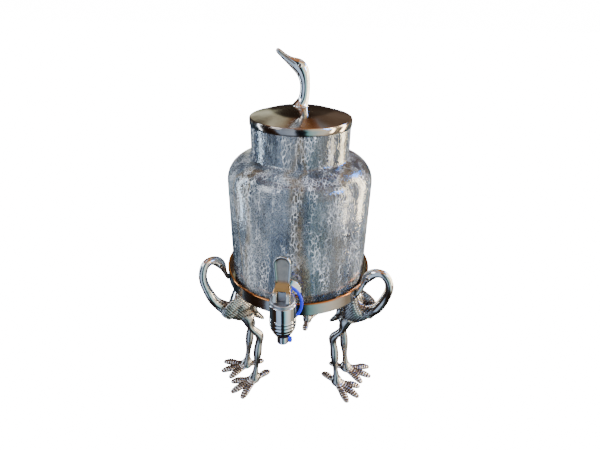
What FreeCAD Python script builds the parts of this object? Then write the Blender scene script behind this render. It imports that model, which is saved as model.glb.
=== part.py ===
import FreeCAD, Part
import math
import os

from FreeCAD import Vector

os.makedirs("parts", exist_ok=True)

# Water dispenser: a crackled glass jar stands in a ring that three cast birds carry on their necks and
# backs. A plated lid with a bird's head as its knob closes it, and a lever tap goes through its wall.
# Millimetres. The origin is on the jar's axis at the floor, +Z is up and the tap points to -Y.

# Jar
jar_radius = 80.0
jar_height = 187.5
glass_wall = 4.0
jar_corner = 10.0
shoulder_height = 143.0
shoulder_slope = 15.0
shoulder_round = 26.0
neck_width = 106.0
neck_round = 4.0
lip_round = 1.4

# Ring of the stand
ring_clearance = 4.0
ring_top = 164.0
ring_height = 16.0
ring_wall = 3.0
ledge_width = 23.0
ledge_thickness = 3.0
ring_edge_round = 1.0

# Birds: angles of their radial planes about the jar's axis, seen from above
stand_turn = 6.0
bird_angles = {"bird_left": -150.0, "bird_right": -30.0, "bird_back": 90.0}
body_depth = 45.0
body_length = 44.0
body_half_width = 15.0
wing_side = 12.0
wing_drop = 6.0
wing_height = 26.0
wing_thickness = 6.8
tail_length = 20.0
tail_inset = 37.0
neck_span = 32.7
neck_height = 66.0
neck_crest_rise = 25.0
neck_lean = 12.4
neck_thickness = 4.8
beak_turn = -10.0

# Legs and feet
knee_height = 74.0
knee_inset = 18.5
foot_inset = 8.5
hip_inset = 0.5
leg_spread = 14.0
shin_thickness = 4.4
toe_length = 33.0
toe_fan = 29.0
toes_out = 9.0
hind_toe_length = 23.0

# Screws that hold the birds under the ring
bird_screw_inset = 4.0
bird_screw_radius = 2.0
bird_screw_depth = 12.0
bird_screw_head = 4.0

# Lid
lid_overhang = 0.6
lid_edge = 3.5
lid_rise = 10.2
lid_wall = 2.6
lid_pad_radius = 9.9
collar_clearance = 0.8
collar_depth = 8.5
collar_wall = 2.3

# Bird's head on the lid
lid_turn = 7.3
finial_height = 54.0
finial_neck = 5.1
finial_beak = 24.8
finial_screw_radius = 2.0
finial_screw_depth = 7.5
finial_screw_head = 4.6

# Tap
tap_height = 28.0
tap_stand_off = 33.0
shank_radius = 7.5
shank_inner_length = 16.0
shank_bore = 4.5
flange_radius = 10.8
flange_thickness = 2.5
barrel_radius = 13.3
barrel_height = 39.5
barrel_above_shank = 8.5
taper_height = 14.0
taper_foot_radius = 8.2
rib_count = 5
rib_depth = 1.0
outlet_radius = 6.2
outlet_length = 10.8
outlet_bore = 4.2
chamber_radius = 8.8
chamber_depth = 30.5

# Bonnet, stem and valve
bonnet_radius = 12.4
bonnet_height = 3.6
bonnet_recess = 0.4
bonnet_rim = 1.6
bonnet_skirt = 3.2
thread_clearance = 0.08
stem_radius = 3.0
running_clearance = 0.05
stem_head_width = 8.4
stem_head_depth = 7.0
stem_head_height = 10.4
gland_radius = 5.0
gland_depth = 2.4
plug_radius = 6.6
plug_thickness = 3.4
plug_neck = 3.5
seat_clearance = 0.1
spring_radius = 5.8
spring_wire = 0.45
spring_turns = 4
spring_points_per_turn = 8

# Lever: its heel is an involute cam, so the stem rises evenly as the lever comes forward
pin_height = 5.2
pin_radius = 1.75
cam_rise = 4.6
cam_angle = 45.0
heel_clearance = 0.2
ear_width = 3.8
fork_clearance = 0.3
lever_height = 44.3
paddle_width = 16.6
waist_width = 13.6
paddle_thickness = 3.0

# Pieces that clamp the tap in the glass, from outside to inside
hole_clearance = 0.25
outer_seal_radius = 12.0
outer_seal_thickness = 2.0
escutcheon_radius = 14.3
escutcheon_height = 5.5
collar_radius = 8.8
inner_seal_radius = 13.5
inner_seal_thickness = 3.5
washer_radius = 12.5
washer_thickness = 1.5
nut_flats = 23.0
nut_height = 6.0

# Blue silicone: a ring that hangs on the escutcheon's collar, and a ring in the outlet
hang_ring_half_width = 15.2
hang_ring_half_height = 18.0
hang_ring_section = 1.6
hang_ring_aside = 1.5
hang_ring_tilt = 13.0
hang_ring_back = 5.6
hang_ring_gap = 0.48
spout_ring_length = 4.0
spout_ring_wall = 1.1
spout_ring_rim = 0.6
spout_tab_radius = 2.4
spout_tab_drop = 3.2
spout_tab_rise = 2.3
spout_tab_place = 7.6
spout_tab_angle = 25.0

# Heights and places worked out from the sizes above
ring_radius = jar_radius + ring_clearance + ring_wall
ledge_inner_radius = ring_radius - ledge_width
neck_radius = neck_width / 2
lid_radius = neck_radius + lid_overhang
ring_bottom = ring_top - ring_height
belly_height = ring_bottom - body_depth
knee_radius = jar_radius - knee_inset
foot_radius = jar_radius - foot_inset
hip_radius = jar_radius - hip_inset
bird_screw_place = jar_radius - bird_screw_inset
tap_reach = jar_radius + tap_stand_off
shank_end = jar_radius - glass_wall - shank_inner_length
jar_bottom = ring_bottom + ledge_thickness
jar_top = jar_bottom + jar_height
lid_edge_top = jar_top + lid_edge
lid_pad_top = lid_edge_top + lid_rise
tap_z = jar_bottom + tap_height
barrel_top = tap_z + barrel_above_shank
barrel_bottom = barrel_top - barrel_height
outlet_bottom = barrel_bottom - outlet_length
chamber_bottom = barrel_top - chamber_depth
bonnet_plate = barrel_top + bonnet_height - bonnet_recess
skirt_bottom = barrel_top - bonnet_skirt
pin_z = bonnet_plate + heel_clearance + pin_height
collar_outer_radius = neck_radius - glass_wall - collar_clearance
seal_face = jar_radius + outer_seal_thickness
flange_back = tap_reach - barrel_radius - 0.3
flange_front = flange_back - flange_thickness
inner_seal_face = jar_radius - glass_wall - inner_seal_thickness
washer_face = inner_seal_face - washer_thickness
hang_ring_seat = flange_front - hang_ring_back

UP = Vector(0, 0, 1)
OUT = Vector(0, -1, 0)
ACROSS = Vector(1, 0, 0)


def save(name, shape):
    """Write one sub-part as a STEP file."""
    shape.exportStep("parts/" + name + ".step")
    print(name, round(shape.Volume, 1), len(shape.Solids), shape.isValid())


def rounded_outline(corners):
    """Closed wire in the XZ plane through corners (x, z, radius), with an arc at each rounded corner."""
    edges = []
    count = len(corners)
    arrivals = []
    departures = []
    for i in range(count):
        x, z, radius = corners[i]
        here = Vector(x, 0, z)
        before = Vector(corners[i - 1][0], 0, corners[i - 1][1])
        after = Vector(corners[(i + 1) % count][0], 0, corners[(i + 1) % count][1])
        back = (before - here).normalize()
        ahead = (after - here).normalize()
        if radius == 0:
            arrivals.append(here)
            departures.append(here)
            continue
        half_angle = back.getAngle(ahead) / 2
        start = here + back * (radius / math.tan(half_angle))
        end = here + ahead * (radius / math.tan(half_angle))
        bisector = (back + ahead).normalize()
        middle = here + bisector * (radius / math.sin(half_angle) - radius)
        edges.append((i, Part.Arc(start, middle, end).toShape()))
        arrivals.append(start)
        departures.append(end)
    wire_edges = []
    arcs = dict(edges)
    for i in range(count):
        if i in arcs:
            wire_edges.append(arcs[i])
        nxt = (i + 1) % count
        if departures[i].distanceToPoint(arrivals[nxt]) > 1e-6:
            wire_edges.append(Part.LineSegment(departures[i], arrivals[nxt]).toShape())
    return Part.Wire(wire_edges)


def turned(corners, centre=Vector(0, 0, 0)):
    """Solid of revolution of an outline (radius, height, corner radius) about the vertical through centre."""
    solid = Part.Face(rounded_outline(corners)).revolve(Vector(0, 0, 0), UP, 360)
    solid.translate(centre)
    return solid


def turned_outward(corners):
    """The same about the tap's horizontal axis: the height is then the distance from the jar's axis."""
    solid = Part.Face(rounded_outline(corners)).revolve(Vector(0, 0, 0), UP, 360)
    solid.rotate(Vector(0, 0, 0), ACROSS, 90)
    solid.translate(Vector(0, 0, tap_z))
    return solid


def ring_section(inner, outer, low, high, edge=0.0):
    """Corners of a plain ring."""
    return [(inner, low, edge), (outer, low, edge), (outer, high, edge), (inner, high, edge)]


def upright_rod(radius, low, high, x=0.0, y=0.0):
    return Part.makeCylinder(radius, high - low, Vector(x, y, low), UP)


def oval(centre, across, up, half_width, half_height, points=8):
    """Smooth closed wire round a centre, in the plane of two unit vectors."""
    ring = []
    for i in range(points):
        angle = 2 * math.pi * i / points
        ring.append(centre + across * (half_width * math.cos(angle)) + up * (half_height * math.sin(angle)))
    curve = Part.BSplineCurve()
    curve.interpolate(ring, PeriodicFlag=True)
    return Part.Wire([curve.toShape()])


def limb(stations, side=Vector(0, 1, 0)):
    """Loft through stations (x, y, z, half width, half height), each square to the line of centres."""
    centres = [Vector(x, y, z) for x, y, z, w, h in stations]
    wires = []
    for i in range(len(stations)):
        ahead = centres[min(i + 1, len(centres) - 1)]
        behind = centres[max(i - 1, 0)]
        along = (ahead - behind).normalize()
        up = along.cross(side).normalize()
        across = up.cross(along).normalize()
        wires.append(oval(centres[i], across, up, stations[i][3], stations[i][4]))
    return Part.makeLoft(wires, True, False)


def glass_jar():
    """Blown jar: straight wall, round shoulder, short straight neck, and the hole for the tap."""
    slope = math.tan(math.radians(shoulder_slope))
    drop = glass_wall / math.cos(math.radians(shoulder_slope))
    shoulder = jar_bottom + shoulder_height
    neck_foot = shoulder + (jar_radius - neck_radius) * slope
    inner = jar_radius - glass_wall
    inner_neck = neck_radius - glass_wall
    corners = [
        (0, jar_bottom, 0),
        (jar_radius, jar_bottom, jar_corner),
        (jar_radius, shoulder, shoulder_round),
        (neck_radius, neck_foot, neck_round),
        (neck_radius, jar_top, lip_round),
        (inner_neck, jar_top, lip_round),
        (inner_neck, neck_foot + glass_wall * slope - drop, neck_round + glass_wall),
        (inner, shoulder + glass_wall * slope - drop, shoulder_round - glass_wall),
        (inner, jar_bottom + glass_wall, jar_corner - glass_wall),
        (0, jar_bottom + glass_wall, 0),
    ]
    hole = Part.makeCylinder(shank_radius + hole_clearance, jar_radius, Vector(0, -shank_end, tap_z), OUT)
    return turned(corners).cut(hole)


def stand_ring():
    """Band with an inward ledge that the jar's foot stands on, countersunk for the birds' screws."""
    inner = ring_radius - ring_wall
    corners = [
        (ledge_inner_radius, ring_bottom, 0.5),
        (ring_radius, ring_bottom, ring_edge_round),
        (ring_radius, ring_top, ring_edge_round),
        (inner, ring_top, ring_edge_round),
        (inner, jar_bottom, 0.5),
        (ledge_inner_radius, jar_bottom, 0.5),
    ]
    ring = turned(corners)
    for angle in bird_angles.values():
        cutter = screw_shape(bird_screw_radius + hole_clearance, bird_screw_head)
        ring = ring.cut(placed_by_bird(cutter, angle))
    return ring


def screw_shape(shank, head):
    """Countersunk screw that stands point down at a bird's back, its head flush with the ledge."""
    head_height = head - shank
    corners = [
        (0, ring_bottom - bird_screw_depth, 0),
        (shank, ring_bottom - bird_screw_depth, 0),
        (shank, jar_bottom - head_height, 0),
        (head, jar_bottom, 0),
        (0, jar_bottom, 0),
    ]
    return turned(corners, Vector(bird_screw_place, 0, 0))


def placed_by_bird(shape, angle):
    """Turn a shape from the +X plane, where the bird is modelled, to a bird's own plane."""
    placed = shape.copy()
    placed.rotate(Vector(0, 0, 0), UP, angle + stand_turn)
    return placed


def bird_body():
    """Breast and back as one loft that meets the ring from below.

    Slices: shares of the body's length out from the band, of its half width aside, and of its depth.
    """
    slices = [
        (-0.614, 0.00, 0.09, 0.44, 0.46),
        (-0.477, 0.00, -0.04, 0.80, 0.70),
        (-0.341, 0.00, -0.11, 1.02, 0.90),
        (-0.182, 0.03, -0.09, 1.03, 1.00),
        (-0.045, 0.08, -0.02, 0.93, 0.93),
        (0.091, 0.13, 0.09, 0.64, 0.77),
        (0.250, 0.13, 0.24, 0.53, 0.57),
        (0.386, 0.10, 0.40, 0.47, 0.33),
    ]
    wires = []
    for out, aside, low, high, width in slices:
        centre = Vector(ring_radius + out * body_length, aside * body_half_width,
                        belly_height + (low + high) / 2 * body_depth)
        wires.append(oval(centre, Vector(0, 1, 0), UP, width * body_half_width, (high - low) / 2 * body_depth))
    return Part.makeLoft(wires, True, False)


def bird_wing():
    """Raised wing: its upper edge slopes from the ring's underside out and down to the breast.

    Stations: shares of the body's length out from the band, of the wing's side, and of its height.
    """
    top = ring_bottom - wing_drop
    stations = []
    for out, aside, down, thickness, height in (
        (-0.273, 0.6, 0.54, 0.53, 0.42),
        (-0.091, 0.9, 0.35, 0.50, 0.50),
        (0.068, 1.0, 0.48, 0.47, 0.46),
        (0.227, 1.0, 0.67, 0.44, 0.40),
        (0.364, 0.9, 0.85, 0.35, 0.29),
    ):
        stations.append((ring_radius + out * body_length, aside * wing_side, top - down * wing_height,
                         thickness * wing_thickness, height * wing_height))
    return limb(stations)


def bird_tail():
    """Short tail that points in and down between the thighs, in shares of its length."""
    stations = []
    for out, rise, half_width, half_height in (
        (1.0, 0.5, 0.40, 0.40), (0.6, 0.0, 0.33, 0.25), (0.25, -0.42, 0.26, 0.16), (0.0, -0.7, 0.16, 0.09)
    ):
        stations.append((ring_radius - tail_inset + out * tail_length, 0, belly_height + rise * tail_length,
                         half_width * tail_length, half_height * tail_length))
    return limb(stations)


def bird_neck():
    """Neck that leaves the breast, arches back over and ends in a head whose beak rests on the band.

    Stations: shares of the neck's span out from the band, of its lean aside, of its height down from the
    crest, and of its thickness.
    """
    crest = ring_top + neck_crest_rise
    beak_tip = ring_top - 0.4 * ring_height
    stations = []
    for out, lean, down, half_width, half_height in (
        (0.327, 0.00, 1.000, 1.75, 1.75),
        (0.581, 0.00, 0.848, 1.40, 1.40),
        (0.780, 0.00, 0.682, 1.22, 1.22),
        (0.917, 0.05, 0.485, 1.08, 1.08),
        (1.000, 0.24, 0.288, 1.00, 1.00),
        (0.948, 0.40, 0.121, 1.00, 1.00),
        (0.771, 0.56, 0.012, 1.00, 1.00),
        (0.557, 0.69, 0.008, 1.04, 1.06),
        (0.376, 0.77, 0.068, 1.12, 1.22),
        (0.260, 0.82, 0.152, 1.05, 1.10),
        (0.193, 0.89, 0.242, 0.80, 0.78),
        (0.125, 1.00, 0.356, 0.66, 0.56),
    ):
        stations.append((ring_radius + out * neck_span, -lean * neck_lean, crest - down * neck_height,
                         half_width * neck_thickness, half_height * neck_thickness))
    tip_turn = math.radians(beak_turn)
    tip_x = (ring_radius + 0.45 * neck_thickness) * math.cos(tip_turn)
    tip_y = (ring_radius + 0.45 * neck_thickness) * math.sin(tip_turn)
    stations.append((tip_x, tip_y + 0.12 * neck_thickness, beak_tip - 1.6, 0.55 * neck_thickness, 0.42 * neck_thickness))
    stations.append((tip_x - 0.12 * neck_thickness, tip_y, beak_tip - 4.6, 0.30 * neck_thickness, 0.25 * neck_thickness))
    return limb(stations)


def between(start, end, share):
    return start + (end - start) * share


def bird_leg(side):
    """Thigh, knee that bends inward under the jar, and shin, which ends below the floor to be cut off there."""
    t = shin_thickness
    y = side * leg_spread
    hip_z = belly_height + 2 * t
    ankle_z = 0.9 * t
    stations = []
    for joint_share, aside, thickness in ((0.0, 0.55, 1.55), (0.35, 0.80, 1.35), (0.72, 0.95, 1.12)):
        stations.append((between(hip_radius, knee_radius, joint_share), aside * y,
                         between(hip_z, knee_height, joint_share), thickness * t, thickness * t))
    for joint_share, width, depth in ((0.0, 1.15, 1.25), (0.12, 1.02, 1.08), (0.53, 1.00, 1.00), (0.88, 1.02, 1.05),
                                      (1.0, 1.25, 1.30), (1.08, 1.00, 1.05)):
        stations.append((between(knee_radius, foot_radius, joint_share), y,
                         between(knee_height, ankle_z, joint_share), width * t, depth * t))
    return limb(stations)


def toe(side, angle, length, root=0.0):
    """One toe, flat on the floor, with two knuckles and a blunt end; root is where it starts from the ankle."""
    heading = math.radians(angle)
    stations = []
    for share, half_width, half_height in (
        (root, 3.6, 4.2), (0.25, 3.1, 3.3), (0.45, 2.8, 2.8), (0.65, 3.3, 3.3), (0.88, 2.8, 2.5), (1.0, 1.5, 1.5)
    ):
        x = foot_radius + length * share * math.cos(heading)
        y = side * (leg_spread + length * share * math.sin(heading))
        stations.append((x, y, 0.85 * half_height, half_width, half_height))
    return limb(stations, Vector(-math.sin(heading), side * math.cos(heading), 0))


def bird():
    """One casting, modelled in the +X plane and cut to the ring, the floor and its screw."""
    casting = bird_body().fuse([bird_neck(), bird_wing(), bird_tail()])
    for side in (-1, 1):
        leg = bird_leg(side).fuse([
            toe(side, toes_out + toe_fan, 0.97 * toe_length),
            toe(side, toes_out, 1.03 * toe_length),
            toe(side, toes_out - toe_fan, 0.9 * toe_length),
        ])
        casting = casting.fuse(leg.fuse(toe(side, 180 + toes_out, hind_toe_length, -0.1)))
    casting = casting.cut(Part.makeCylinder(ring_radius, 2 * ring_height, Vector(0, 0, ring_bottom), UP))
    floor_cut = Part.makeBox(200, 200, 10, Vector(0, -100, -10))
    casting = casting.cut(floor_cut)
    hole = upright_rod(bird_screw_radius, ring_bottom - bird_screw_depth, ring_top, bird_screw_place)
    return casting.cut(hole)


def bird_screws():
    screws = []
    for angle in bird_angles.values():
        screws.append(placed_by_bird(screw_shape(bird_screw_radius, bird_screw_head - hole_clearance), angle))
    return Part.makeCompound(screws)


def lid_cover():
    """Plated cover with a low dome, a rolled edge on the jar's lip and a collar inside its neck."""
    under_pad = lid_pad_top - lid_wall
    mid_radius = 0.62 * lid_radius
    mid_top = lid_edge_top + 0.58 * lid_rise
    inner_collar = collar_outer_radius - collar_wall
    corners = [
        (finial_screw_radius + hole_clearance, under_pad, 0),
        (finial_screw_head + 1.0, under_pad, 0),
        (mid_radius, mid_top - lid_wall, 50),
        (inner_collar, lid_edge_top - lid_wall + 0.8, 1.0),
        (inner_collar, jar_top - collar_depth, 0.6),
        (collar_outer_radius, jar_top - collar_depth, 0.6),
        (collar_outer_radius, jar_top, 0),
        (lid_radius, jar_top, 0.8),
        (lid_radius, lid_edge_top, 1.4),
        (mid_radius, mid_top, 50),
        (lid_pad_radius, lid_pad_top, 0),
        (finial_screw_radius + hole_clearance, lid_pad_top, 0),
    ]
    return turned(corners)


def lid_finial():
    """Bird's head and neck that rise from the lid; the beak points up and to one side."""
    t = finial_neck
    foot = lid_pad_top
    top = lid_pad_top + finial_height
    tip = -finial_beak
    neck = [
        (0.4, 0, foot, 1.92 * t, 1.92 * t),
        (0.4, 0, foot + 2.2, 1.45 * t, 1.45 * t),
        (1.8, 0, foot + 5.2, 1.18 * t, 1.18 * t),
        (3.2, 0, foot + 11, 1.02 * t, 1.02 * t),
        (3.7, 0, top - 36, t, t),
        (3.2, 0, top - 29, 1.02 * t, 1.06 * t),
        (1.6, 0, top - 22.5, 1.05 * t, 1.24 * t),
        (-0.4, 0, top - 18.3, 1.08 * t, 1.34 * t),
        (0.18 * tip, 0, top - 14.6, 1.02 * t, 1.28 * t),
        (0.36 * tip, 0, top - 12.4, 0.86 * t, 1.00 * t),
        (0.56 * tip, 0, top - 9.4, 0.70 * t, 0.72 * t),
        (0.80 * tip, 0, top - 4.8, 0.60 * t, 0.56 * t),
        (0.95 * tip, 0, top - 1.6, 0.48 * t, 0.44 * t),
        (tip, 0, top - 0.6, 0.25 * t, 0.22 * t),
    ]
    head = limb(neck)
    hole = upright_rod(finial_screw_radius, foot - 1, foot + finial_screw_depth)
    head = head.cut(hole)
    head.rotate(Vector(0, 0, 0), UP, lid_turn)
    return head


def finial_screw():
    """Pan-headed screw from under the lid into the neck of the bird's head."""
    under_pad = lid_pad_top - lid_wall
    corners = [
        (0, under_pad - 2.6, 0),
        (finial_screw_head, under_pad - 2.6, 1.2),
        (finial_screw_head, under_pad, 0),
        (finial_screw_radius, under_pad, 0),
        (finial_screw_radius, lid_pad_top + finial_screw_depth - 0.5, 0),
        (0, lid_pad_top + finial_screw_depth - 0.5, 0),
    ]
    return turned(corners)


def taper_radius(z):
    """Outer radius of the barrel's rounded lower part at a height."""
    rise = (z - barrel_bottom) / taper_height
    return taper_foot_radius + (barrel_radius - taper_foot_radius) * math.sin(rise * math.pi / 2)


def tap_body():
    """Barrel with a ribbed taper, outlet, and a shank with its flange; bored for the valve and the water."""
    corners = [(0, outlet_bottom, 0), (outlet_radius, outlet_bottom, 0.6), (outlet_radius, barrel_bottom, 0)]
    pitch = taper_height / rib_count
    for i in range(rib_count):
        low = barrel_bottom + i * pitch
        corners.append((taper_radius(low), low, 0))
        corners.append((taper_radius(low + 0.6 * pitch), low + 0.6 * pitch, 0))
        corners.append((taper_radius(low + 0.7 * pitch) - rib_depth, low + 0.7 * pitch, 0))
        corners.append((taper_radius(low + pitch) - rib_depth, low + pitch, 0))
    corners.append((barrel_radius, barrel_bottom + taper_height, 0))
    corners.append((barrel_radius, barrel_top, 0.6))
    corners.append((0, barrel_top, 0))
    axis = Vector(0, -tap_reach, 0)
    body = turned(corners, axis)
    shank = Part.makeCylinder(shank_radius, tap_reach - shank_end, Vector(0, -shank_end, tap_z), OUT)
    flange = turned_outward(ring_section(0, flange_radius, flange_front, tap_reach - chamber_radius - 2))
    above = Part.makeBox(2 * flange_radius, tap_reach, flange_radius, Vector(-flange_radius, -tap_reach, barrel_top))
    flange = flange.cut(above)
    body = body.fuse([shank, flange])
    chamber = upright_rod(chamber_radius, chamber_bottom, barrel_top + flange_radius, 0, -tap_reach)
    outlet = upright_rod(outlet_bore, outlet_bottom - 1, chamber_bottom + 1, 0, -tap_reach)
    ring_seat = upright_rod(outlet_bore + spout_ring_wall, outlet_bottom - 1, outlet_bottom + spout_ring_length,
                            0, -tap_reach)
    passage = Part.makeCylinder(shank_bore, tap_reach - shank_end + 1, Vector(0, 1 - shank_end, tap_z), OUT)
    return body.cut([chamber, outlet, ring_seat, passage])


def bonnet_ring():
    """Cap screwed into the barrel's top, with a raised rim, a bore for the stem and a gland for its seal."""
    bore = stem_radius + running_clearance
    top = barrel_top + bonnet_height
    rim_inner = bonnet_radius - bonnet_rim
    corners = [
        (bore, skirt_bottom + gland_depth, 0),
        (gland_radius, skirt_bottom + gland_depth, 0),
        (gland_radius, skirt_bottom, 0),
        (chamber_radius - thread_clearance, skirt_bottom, 0),
        (chamber_radius - thread_clearance, barrel_top, 0),
        (bonnet_radius, barrel_top, 0),
        (bonnet_radius, top, 1.1),
        (rim_inner, top, 0.3),
        (rim_inner, bonnet_plate, 0),
        (bore, bonnet_plate, 0),
    ]
    return turned(corners, Vector(0, -tap_reach, 0))


def stem_seal():
    """Rubber ring in the bonnet's gland; the stem runs in it."""
    corners = ring_section(stem_radius + running_clearance, gland_radius, skirt_bottom,
                           skirt_bottom + gland_depth, 0.5)
    return turned(corners, Vector(0, -tap_reach, 0))


def valve_stem():
    """Stem with a square head between the lever's ears, bored across for the pin."""
    stem_foot = chamber_bottom + seat_clearance + plug_thickness / 2
    head_bottom = bonnet_plate + 0.5
    rod = upright_rod(stem_radius, stem_foot, head_bottom + 1, 0, -tap_reach)
    head = Part.makeBox(stem_head_width, stem_head_depth, stem_head_height,
                        Vector(-stem_head_width / 2, -tap_reach - stem_head_depth / 2, head_bottom))
    head = head.makeFillet(0.8, [e for e in head.Edges if abs(e.BoundBox.ZLength) > 1])
    return rod.fuse(head).cut(cross_pin(pin_radius, stem_head_width + 1)).removeSplitter()


def cross_pin(radius, length):
    """Rod along X through the lever's pivot."""
    return Part.makeCylinder(radius, length, Vector(-length / 2, -tap_reach, pin_z), ACROSS)


def lever_pin():
    length = stem_head_width + 2 * (fork_clearance + ear_width) + 0.6
    return cross_pin(pin_radius, length)


def valve_plug():
    """Rubber plug on the stem's foot: a flat face on the seat, a nose in the outlet, a neck in the spring."""
    foot = chamber_bottom + seat_clearance
    corners = [
        (0, foot - 2.0, 0),
        (outlet_bore - 1.6, foot - 2.0, 0.5),
        (outlet_bore - 0.4, foot, 0),
        (plug_radius, foot, 0.5),
        (plug_radius, foot + plug_thickness, 0),
        (spring_radius - spring_wire - 0.4, foot + plug_thickness, 0),
        (spring_radius - spring_wire - 0.4, foot + plug_thickness + plug_neck, 0.5),
        (stem_radius, foot + plug_thickness + plug_neck, 0),
        (stem_radius, foot + plug_thickness / 2, 0),
        (0, foot + plug_thickness / 2, 0),
    ]
    return turned(corners, Vector(0, -tap_reach, 0))


def return_spring():
    """Coil between the plug's shoulder and the bonnet."""
    low = chamber_bottom + seat_clearance + plug_thickness + spring_wire + 0.05
    high = skirt_bottom - spring_wire - 0.05
    points = []
    steps = spring_turns * spring_points_per_turn
    for i in range(steps + 1):
        angle = 2 * math.pi * i / spring_points_per_turn
        points.append(Vector(spring_radius * math.cos(angle), spring_radius * math.sin(angle), (high - low) * i / steps))
    path = Part.BSplineCurve()
    path.interpolate(points)
    along = (points[1] - points[0]).normalize()
    section = Part.Wire([Part.makeCircle(spring_wire, points[0], Vector(0, along.y, along.z))])
    coil = Part.Wire([path.toShape()]).makePipeShell([section], True, True)
    coil.translate(Vector(0, -tap_reach, low))
    return coil


def cam_point(angle):
    """Point of the heel whose normal leans forward by an angle, from the pivot: an involute's support."""
    a = math.radians(angle)
    support = pin_height + cam_rise * a
    y = -support * math.sin(a) - cam_rise * math.cos(a)
    z = -support * math.cos(a) + cam_rise * math.sin(a)
    return Vector(0, y, z)


def lever_handle():
    """Side outline with the cam heel, crossed with the paddle's front outline, and slotted for the stem."""
    cam = Part.BSplineCurve()
    cam.interpolate([cam_point(cam_angle * i / 5) for i in range(6)])
    half = paddle_thickness / 2
    heel_back = 5.4
    nose = cam_point(cam_angle) + Vector(0, -0.7, 0.7)
    chain = [
        cam_point(cam_angle),
        nose,
        Vector(0, -7.5, 4.0),
        Vector(0, -half - 1.2, 9.5),
        Vector(0, -half, 14.0),
        Vector(0, -half, lever_height),
        Vector(0, half, lever_height),
        Vector(0, half, 14.0),
        Vector(0, heel_back, 6.0),
        Vector(0, heel_back, -pin_height),
        cam_point(0),
    ]
    edges = [cam.toShape()]
    for start, end in zip(chain[:-1], chain[1:]):
        edges.append(Part.LineSegment(start, end).toShape())
    fork_width = stem_head_width + 2 * (fork_clearance + ear_width)
    side = Part.Face(Part.Wire(Part.__sortEdges__(edges))).extrude(Vector(fork_width, 0, 0))
    side.translate(Vector(-fork_width / 2, 0, 0))
    top_round = 0.48 * paddle_width
    front = rounded_outline([
        (-fork_width / 2, -pin_height - 6, 0),
        (fork_width / 2, -pin_height - 6, 0),
        (fork_width / 2, 7.5, 2.0),
        (waist_width / 2, 12.0, 3.0),
        (paddle_width / 2, lever_height - top_round - 4, 6.0),
        (paddle_width / 2, lever_height, top_round),
        (-paddle_width / 2, lever_height, top_round),
        (-paddle_width / 2, lever_height - top_round - 4, 6.0),
        (-waist_width / 2, 12.0, 3.0),
        (-fork_width / 2, 7.5, 2.0),
    ])
    front = Part.Face(front).extrude(Vector(0, 40, 0))
    front.translate(Vector(0, -20, 0))
    lever = side.common(front)
    slot_width = stem_head_width + 2 * fork_clearance
    slot_top = math.hypot(stem_head_depth / 2, stem_head_height - pin_height) + 0.9
    slot = Part.makeBox(slot_width, 60, 30 + slot_top, Vector(-slot_width / 2, -30, -30))
    lever = lever.cut(slot)
    lever.translate(Vector(0, -tap_reach, pin_z))
    return lever.cut(cross_pin(pin_radius + running_clearance, fork_width + 2))


def outer_seal():
    """Rubber washer whose inner face follows the glass."""
    washer = turned_outward(ring_section(shank_radius + hole_clearance, outer_seal_radius,
                                         jar_radius - 10, seal_face))
    return washer.cut(upright_rod(jar_radius, jar_bottom, jar_top))


def tap_escutcheon():
    """Dished chrome cover over the seal, with a collar that runs to the tap's flange."""
    dish = seal_face + escutcheon_height
    corners = [
        (shank_radius + hole_clearance, seal_face, 0),
        (outer_seal_radius + 0.4, seal_face, 0),
        (outer_seal_radius + 0.4, seal_face - outer_seal_thickness + 0.5, 0),
        (escutcheon_radius, seal_face - outer_seal_thickness + 0.5, 0),
        (escutcheon_radius, seal_face + 0.5, 0.8),
        (collar_radius, dish - 1.0, 1.5),
        (collar_radius, flange_front, 0.3),
        (shank_radius + hole_clearance, flange_front, 0),
    ]
    return turned_outward(corners)


def inner_seal():
    """Rubber washer inside the jar; its outer face follows the glass."""
    washer = turned_outward(ring_section(shank_radius + hole_clearance, inner_seal_radius,
                                         inner_seal_face, jar_radius + 5))
    return washer.common(upright_rod(jar_radius - glass_wall, jar_bottom, jar_top))


def inner_washer():
    return turned_outward(ring_section(shank_radius + hole_clearance, washer_radius, washer_face,
                                       inner_seal_face, 0.3))


def back_nut():
    """Hexagonal nut on the shank's thread."""
    circle = nut_flats / 2 / math.cos(math.radians(30))
    corners = []
    for i in range(7):
        angle = math.radians(60 * i)
        corners.append(Vector(circle * math.cos(angle), -washer_face, tap_z + circle * math.sin(angle)))
    nut = Part.Face(Part.makePolygon(corners)).extrude(Vector(0, nut_height, 0))
    bevel = turned_outward([
        (0, washer_face - nut_height, 0),
        (nut_flats / 2, washer_face - nut_height, 0),
        (circle + 0.1, washer_face - nut_height + 1.2, 0),
        (circle + 0.1, washer_face, 0),
        (0, washer_face, 0),
    ])
    bore = Part.makeCylinder(shank_radius, jar_radius, Vector(0, 0, tap_z), OUT)
    return nut.common(bevel).cut(bore)


def shank_ring():
    """Loose silicone ring: it hangs on the escutcheon's collar and leans on the back of the barrel."""
    tilt = math.radians(hang_ring_tilt)
    down = Vector(0, -math.sin(tilt), -math.cos(tilt))
    top = Vector(hang_ring_aside, -hang_ring_seat, tap_z + collar_radius + hang_ring_section + hang_ring_gap)
    centre = top + down * hang_ring_half_height
    path = Part.Ellipse(top, centre + ACROSS * hang_ring_half_width, centre)
    section = Part.Wire([Part.makeCircle(hang_ring_section, top, ACROSS)])
    return Part.Wire([path.toShape()]).makePipeShell([section], True, True)


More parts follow.
